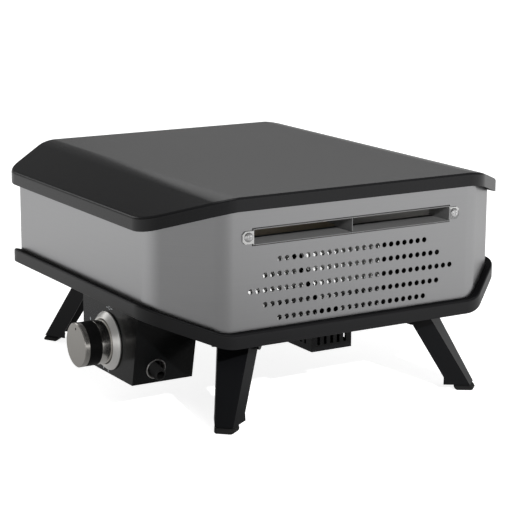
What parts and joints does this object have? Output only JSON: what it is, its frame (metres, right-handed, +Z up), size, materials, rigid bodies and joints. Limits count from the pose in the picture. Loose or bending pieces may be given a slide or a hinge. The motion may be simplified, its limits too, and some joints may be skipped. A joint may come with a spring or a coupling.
{
  "type": "portable pizza oven",
  "caption": "Low gas pizza oven: black pressed lid and tray overhanging a brushed eight-sided body with a perforated rear, side control box with knob, and splayed legs that fold under the base",
  "frame": {"origin": "middle of the bounding box in plan, on the ground plane under the feet", "axes": "+X towards the control box and knob, +Y towards the perforated rear, mouth on -Y, +Z up"},
  "size_m": [0.4694, 0.4274, 0.2375],
  "materials": {
    "black_coat": "satin black heat-proof coating",
    "brushed_steel": "brushed",
    "liner_steel": "mill finish, heat tinted",
    "bright_steel": "bright brushed",
    "polished_steel": "polished",
    "dark_steel": "dull heat-darkened",
    "black_plastic": "fine-grained black",
    "rubber": "matte black",
    "brass": "machined",
    "electrode_ceramic": "glazed white ceramic",
    "stone": "dry cordierite stone"
  },
  "bodies": {
    "oven": {"lid_shell": "black_coat", "body_wrap": "brushed_steel", "base_tray": "black_coat", "mouth_frame": "black_coat", "flue_duct": "bright_steel", "flue_divider": "bright_steel", "flue_screw_left": "bright_steel", "flue_screw_right": "bright_steel", "roof_liner": "liner_steel", "liner_wall": "liner_steel", "floor_pan": "liner_steel", "stone_rail_left": "liner_steel", "stone_rail_right": "liner_steel", "pizza_stone": "stone", "burner": "liner_steel", "burner_bracket_right": "liner_steel", "burner_bracket_left": "liner_steel", "flame_guard": "dark_steel", "rear_baffle": "bright_steel", "gas_pipe": "dark_steel", "injector": "brass", "air_cover": "black_coat", "igniter_electrode": "electrode_ceramic", "igniter_lead": "black_plastic", "control_box": "black_coat", "inlet_fitting": "dark_steel", "inlet_collar": "dark_steel", "gas_valve": "brass", "knob_bezel": "bright_steel", "leg_bracket_rear_right": "dark_steel", "hinge_pin_rear_right": "bright_steel", "leg_bracket_rear_left": "dark_steel", "hinge_pin_rear_left": "bright_steel", "leg_bracket_front_left": "dark_steel", "hinge_pin_front_left": "bright_steel", "leg_bracket_front_right": "dark_steel", "hinge_pin_front_right": "bright_steel"},
    "valve_plug": {"valve_plug": "brass"},
    "knob": {"valve_stem": "dark_steel", "knob_skirt": "polished_steel", "knob_grip": "black_plastic", "knob_cap": "bright_steel"},
    "leg_rear_right_fold": {"leg_rear_right": "black_coat", "foot_pad_rear_right": "rubber"},
    "leg_rear_left_fold": {"leg_rear_left": "black_coat", "foot_pad_rear_left": "rubber"},
    "leg_front_left_fold": {"leg_front_left": "black_coat", "foot_pad_front_left": "rubber"},
    "leg_front_right_fold": {"leg_front_right": "black_coat", "foot_pad_front_right": "rubber"}
  },
  "joints": [
    {"name": "knob_turn", "type": "hinge", "parent": "oven", "child": "valve_plug", "pos_m": [0.1983, 0.0734, 0.072], "axis": [1, 0, 0], "range_deg": [0, 180]},
    {"name": "knob_push", "type": "slide", "parent": "valve_plug", "child": "knob", "axis": [-1, 0, 0], "range_m": [0, 0.0035], "stiffness_N_per_m": 900, "springref_m": -0.002},
    {"name": "fold_rear_right", "type": "hinge", "parent": "oven", "child": "leg_rear_right_fold", "pos_m": [0.0973, 0.1616, 0.086], "axis": [-0.7373, 0.6756, 0], "range_deg": [0, 118]},
    {"name": "fold_rear_left", "type": "hinge", "parent": "oven", "child": "leg_rear_left_fold", "pos_m": [-0.1267, 0.1616, 0.086], "axis": [-0.7373, -0.6756, 0], "range_deg": [0, 118]},
    {"name": "fold_front_left", "type": "hinge", "parent": "oven", "child": "leg_front_left_fold", "pos_m": [-0.1267, -0.1616, 0.086], "axis": [0.7373, -0.6756, 0], "range_deg": [0, 118]},
    {"name": "fold_front_right", "type": "hinge", "parent": "oven", "child": "leg_front_right_fold", "pos_m": [0.0973, -0.1616, 0.086], "axis": [0.7373, 0.6756, 0], "range_deg": [0, 118]}
  ]
}
